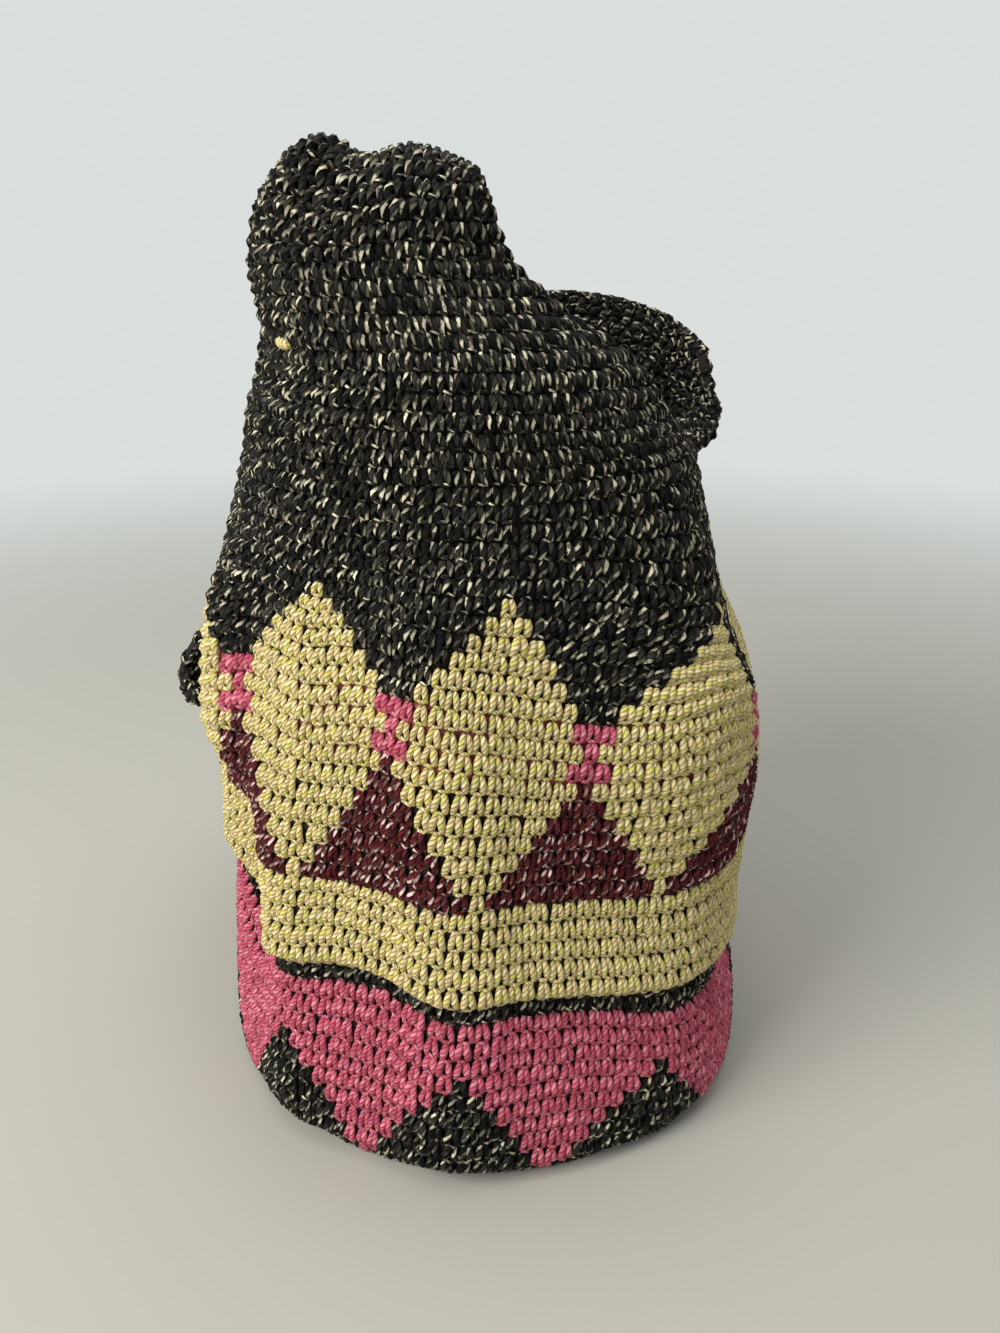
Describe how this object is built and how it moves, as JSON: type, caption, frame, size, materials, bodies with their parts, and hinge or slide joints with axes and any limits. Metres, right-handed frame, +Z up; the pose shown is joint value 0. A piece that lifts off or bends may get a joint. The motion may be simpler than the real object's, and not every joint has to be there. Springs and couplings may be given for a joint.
{
  "type": "crochet shoulder bag",
  "caption": "Round-based crochet shoulder bag with a patterned wall and one wide crocheted strap folded over its open mouth.",
  "frame": {"origin": "middle of the round base, on the surface that it stands on", "axes": "+Z up, the front along -Y, and the strap's lower fold hangs out towards -X and +Y"},
  "size_m": [0.235, 0.2194, 0.3227],
  "materials": {
    "crochet_yarn": "matte cotton yarn crocheted tightly, in dark marl, cream, dusty pink and maroon"
  },
  "bodies": {
    "root": {"crochet_bag": "crochet_yarn"}
  },
  "joints": []
}
